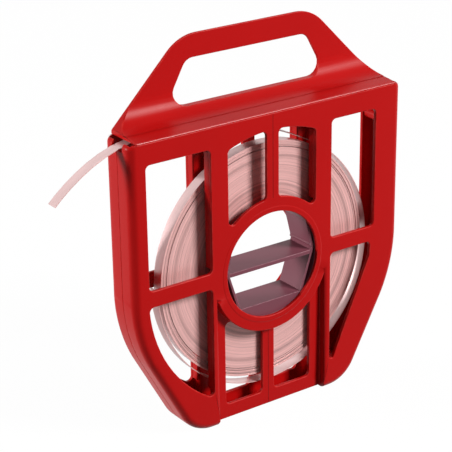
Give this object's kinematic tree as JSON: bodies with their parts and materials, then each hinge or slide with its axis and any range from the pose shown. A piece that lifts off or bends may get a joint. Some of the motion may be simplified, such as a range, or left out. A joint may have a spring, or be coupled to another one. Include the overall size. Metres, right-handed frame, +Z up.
{
  "type": "banding strap dispenser",
  "caption": "Portable dispenser for steel banding strap: a moulded grille case with a carrying handle holds a reel whose strap leaves through a slit under the top panel.",
  "frame": {"origin": "on the reel's axis, midway between the front and rear faces", "axes": "+Z up, -Y towards the viewer in front of the grille, the strap leaves at -X, reel axis along Y"},
  "size_m": [0.4028, 0.044, 0.407],
  "materials": {
    "case_red": "satin moulded plastic",
    "core_mauve": "satin moulded plastic",
    "strap_steel": "rolled steel strap with fine edge lines"
  },
  "bodies": {
    "case": {"front_shell": "case_red", "rear_shell": "case_red", "carry_handle": "case_red", "strap_lead": "strap_steel"},
    "reel": {"core_barrel": "core_mauve", "core_slat_upper": "core_mauve", "core_slat_lower": "core_mauve", "core_cheek_left": "core_mauve", "core_cheek_right": "core_mauve", "strap_coil": "strap_steel", "strap_turns": "strap_steel"}
  },
  "joints": [
    {"name": "reel_turn", "type": "hinge", "parent": "case", "child": "reel", "pos_m": [0, 0, 0], "axis": [0, 1, 0], "continuous": true}
  ]
}
